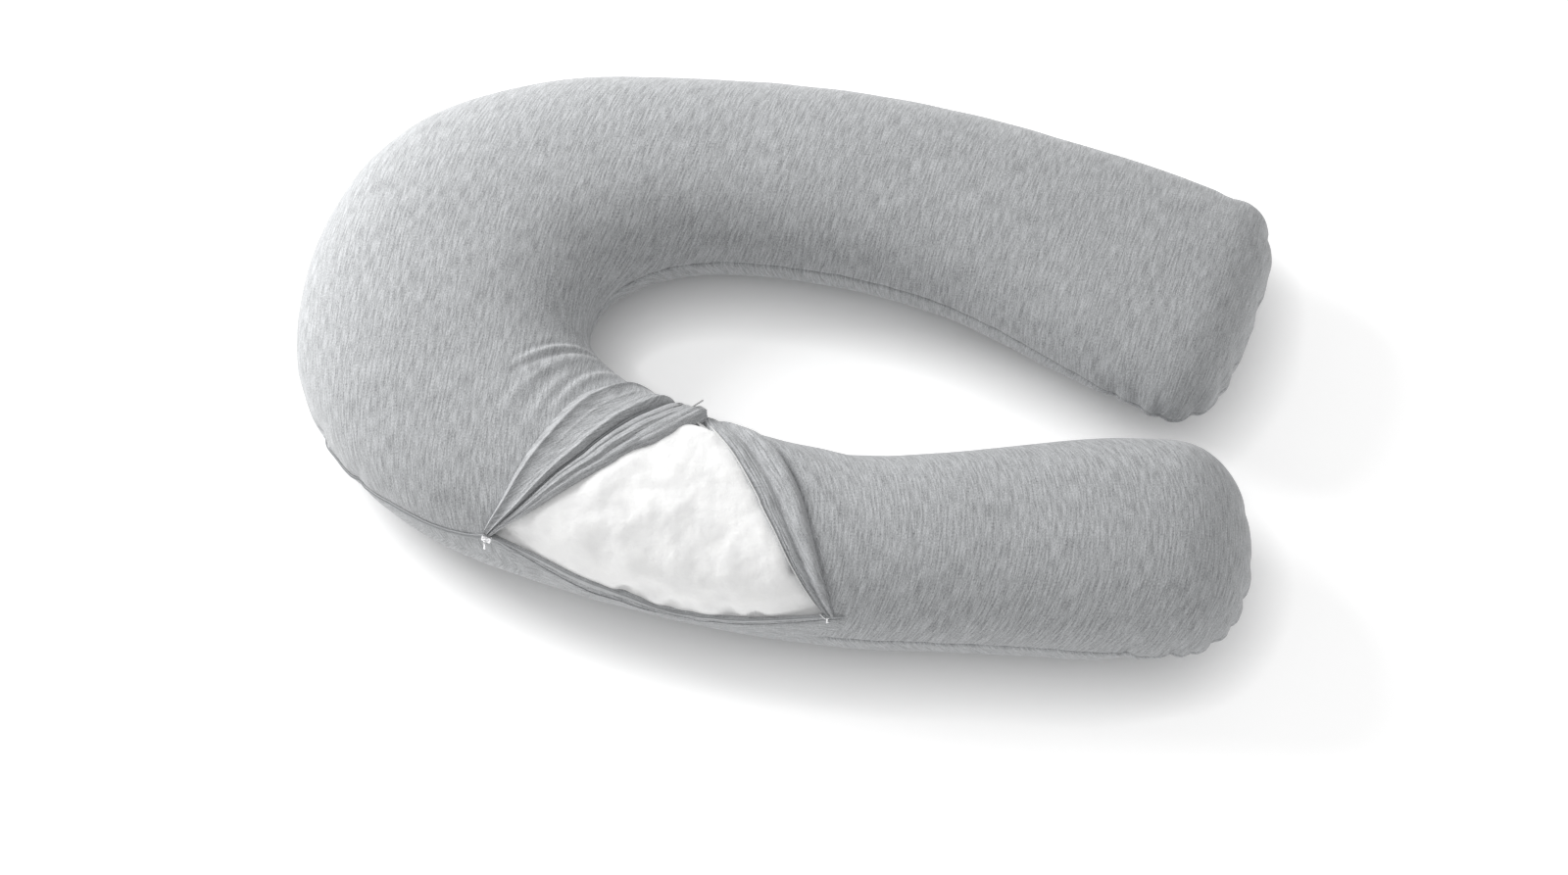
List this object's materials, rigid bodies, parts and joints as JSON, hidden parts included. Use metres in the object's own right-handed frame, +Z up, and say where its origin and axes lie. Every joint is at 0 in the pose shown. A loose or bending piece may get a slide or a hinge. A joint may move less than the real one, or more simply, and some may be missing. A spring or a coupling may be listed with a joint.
{
  "type": "u-shaped pillow",
  "caption": "Long U-shaped body pillow in a soft knitted cover, lying flat, with the zip on its outer seam partly open and the fibre filling showing.",
  "frame": {"origin": "middle of the plan's bounding box, on the surface that the pillow lies on", "axes": "+X along the U towards its mouth, +Y from the near arm with the zip to the far arm, +Z up"},
  "size_m": [1.2161, 0.7965, 0.2021],
  "materials": {
    "cover": "grey melange cotton jersey, soft and matt",
    "filling": "loose white fibre",
    "zip_tape": "woven grey tape with a fine coil",
    "metal": "bright plated metal"
  },
  "bodies": {
    "root": {"pillow_cover": "cover", "filling": "filling", "zip_chain_closed": "zip_tape", "zip_tape_lower": "zip_tape", "zip_tape_upper_left": "zip_tape", "zip_tape_upper_right": "zip_tape", "zip_slider": "metal", "zip_pull": "metal", "zip_stop": "metal"}
  },
  "joints": []
}
